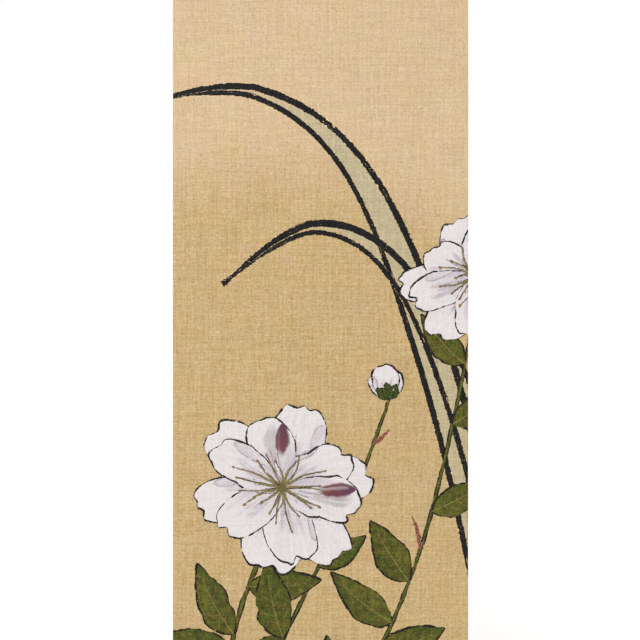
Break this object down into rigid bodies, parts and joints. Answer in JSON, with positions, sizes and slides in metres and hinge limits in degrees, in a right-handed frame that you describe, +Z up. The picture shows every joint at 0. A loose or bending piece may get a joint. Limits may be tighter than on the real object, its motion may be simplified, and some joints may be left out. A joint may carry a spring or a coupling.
{
  "type": "folding screen",
  "caption": "Freestanding folding screen of hinged flat panels wrapped in painted silk, with a cloth-lined back.",
  "frame": {"origin": "on the floor, under the middle of the standing screen's footprint", "axes": "+Z up; the first panel stands along X with its painted face towards -Y, and the others fold back behind it"},
  "size_m": [0.4616, 0.6336, 1.8],
  "materials": {
    "silk": "painted tan silk, matt with a soft sheen",
    "lining": "plain brown lining cloth",
    "braid": "woven flat braid",
    "hardboard": "smooth hardboard",
    "frame_wood": "planed softwood",
    "glide_plastic": "matt moulded plastic",
    "hinge_brass": "drawn brass, lightly tarnished",
    "screw_brass": "turned brass"
  },
  "bodies": {
    "panel_1": {"back_hinge_panel1_leaves": "hinge_brass", "back_hinge_panel1_screws": "screw_brass", "back_hinge_pins": "hinge_brass", "panel1_back_board": "hardboard", "panel1_back_braid": "braid", "panel1_back_lining": "lining", "panel1_bottom_rail": "frame_wood", "panel1_front_board": "hardboard", "panel1_glides": "glide_plastic", "panel1_left_stile": "frame_wood", "panel1_lower_cross_rail": "frame_wood", "panel1_right_stile": "frame_wood", "panel1_silk_cover": "silk", "panel1_top_rail": "frame_wood", "panel1_upper_cross_rail": "frame_wood"},
    "panel_2": {"back_hinge_panel2_leaves": "hinge_brass", "back_hinge_panel2_screws": "screw_brass", "front_hinge_panel2_leaves": "hinge_brass", "front_hinge_panel2_screws": "screw_brass", "panel2_back_board": "hardboard", "panel2_back_braid": "braid", "panel2_back_lining": "lining", "panel2_bottom_rail": "frame_wood", "panel2_front_board": "hardboard", "panel2_glides": "glide_plastic", "panel2_left_stile": "frame_wood", "panel2_lower_cross_rail": "frame_wood", "panel2_right_stile": "frame_wood", "panel2_silk_cover": "silk", "panel2_top_rail": "frame_wood", "panel2_upper_cross_rail": "frame_wood"},
    "panel_3": {"front_hinge_panel3_leaves": "hinge_brass", "front_hinge_panel3_screws": "screw_brass", "front_hinge_pins": "hinge_brass", "panel3_back_board": "hardboard", "panel3_back_braid": "braid", "panel3_back_lining": "lining", "panel3_bottom_rail": "frame_wood", "panel3_front_board": "hardboard", "panel3_glides": "glide_plastic", "panel3_left_stile": "frame_wood", "panel3_lower_cross_rail": "frame_wood", "panel3_right_stile": "frame_wood", "panel3_silk_cover": "silk", "panel3_top_rail": "frame_wood", "panel3_upper_cross_rail": "frame_wood"}
  },
  "joints": [
    {"name": "back_hinges", "type": "hinge", "parent": "panel_1", "child": "panel_2", "pos_m": [0.22016, -0.2931, 0], "axis": [0, 0, 1], "range_deg": [-150, 30]},
    {"name": "front_hinges", "type": "hinge", "parent": "panel_2", "child": "panel_3", "pos_m": [-0.15769, -0.04354, 0], "axis": [0, 0, 1], "range_deg": [-80, 100]}
  ]
}
